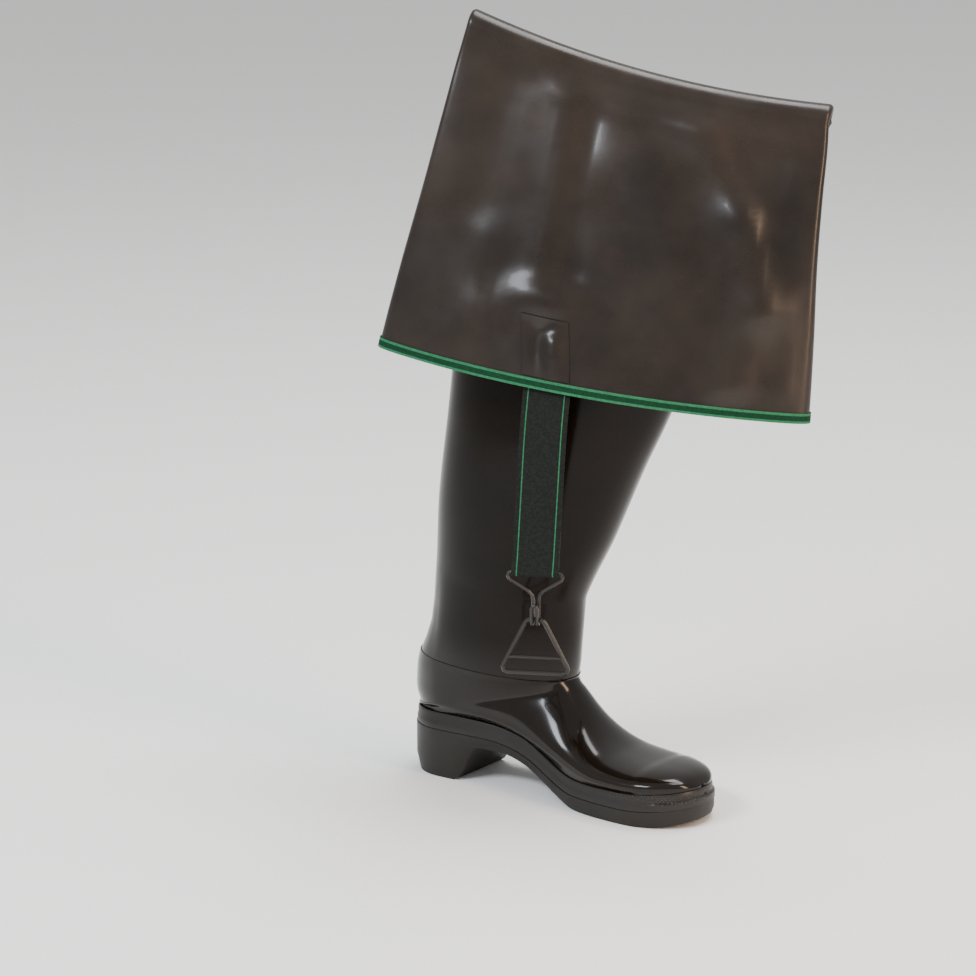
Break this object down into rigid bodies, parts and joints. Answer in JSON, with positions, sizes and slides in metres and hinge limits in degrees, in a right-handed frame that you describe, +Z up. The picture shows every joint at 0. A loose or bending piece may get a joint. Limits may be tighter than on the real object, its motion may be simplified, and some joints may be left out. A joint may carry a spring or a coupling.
{
  "type": "hip_wader",
  "caption": "Hip-high rubber wading boot standing on its sole, its thigh tube flattened and folded over to one side, with a belt strap, hook and ring hanging from the hem",
  "frame": {"origin": "on the floor under the centre of the heel", "axes": "+X toward the toe, +Y toward the wearer's left, +Z up"},
  "size_m": [0.3649, 0.2163, 0.68],
  "materials": {
    "boot_rubber": "glossy",
    "leg_rubber": "semi-gloss",
    "sole_rubber": "satin",
    "insole_board": "matte",
    "hem_tape": "woven",
    "strap_webbing": "woven",
    "black_metal": "satin black"
  },
  "bodies": {
    "root": {"upper": "boot_rubber", "leg": "leg_rubber", "foxing": "sole_rubber", "outsole": "sole_rubber", "insole": "insole_board", "hem_binding": "hem_tape", "strap_patch": "leg_rubber", "strap": "strap_webbing"},
    "hook": {"hook": "black_metal"},
    "ring": {"ring": "black_metal"}
  },
  "joints": [
    {"name": "hook_in_strap", "type": "hinge", "parent": "root", "child": "hook", "pos_m": [0.13142, -0.07962, 0.21581], "axis": [0.9087, 0.4176, 0], "range_deg": [-75, 10]},
    {"name": "ring_on_hook", "type": "hinge", "parent": "hook", "child": "ring", "pos_m": [0.13142, -0.07962, 0.17481], "axis": [0.9087, 0.4176, 0], "range_deg": [-60, 12]}
  ]
}
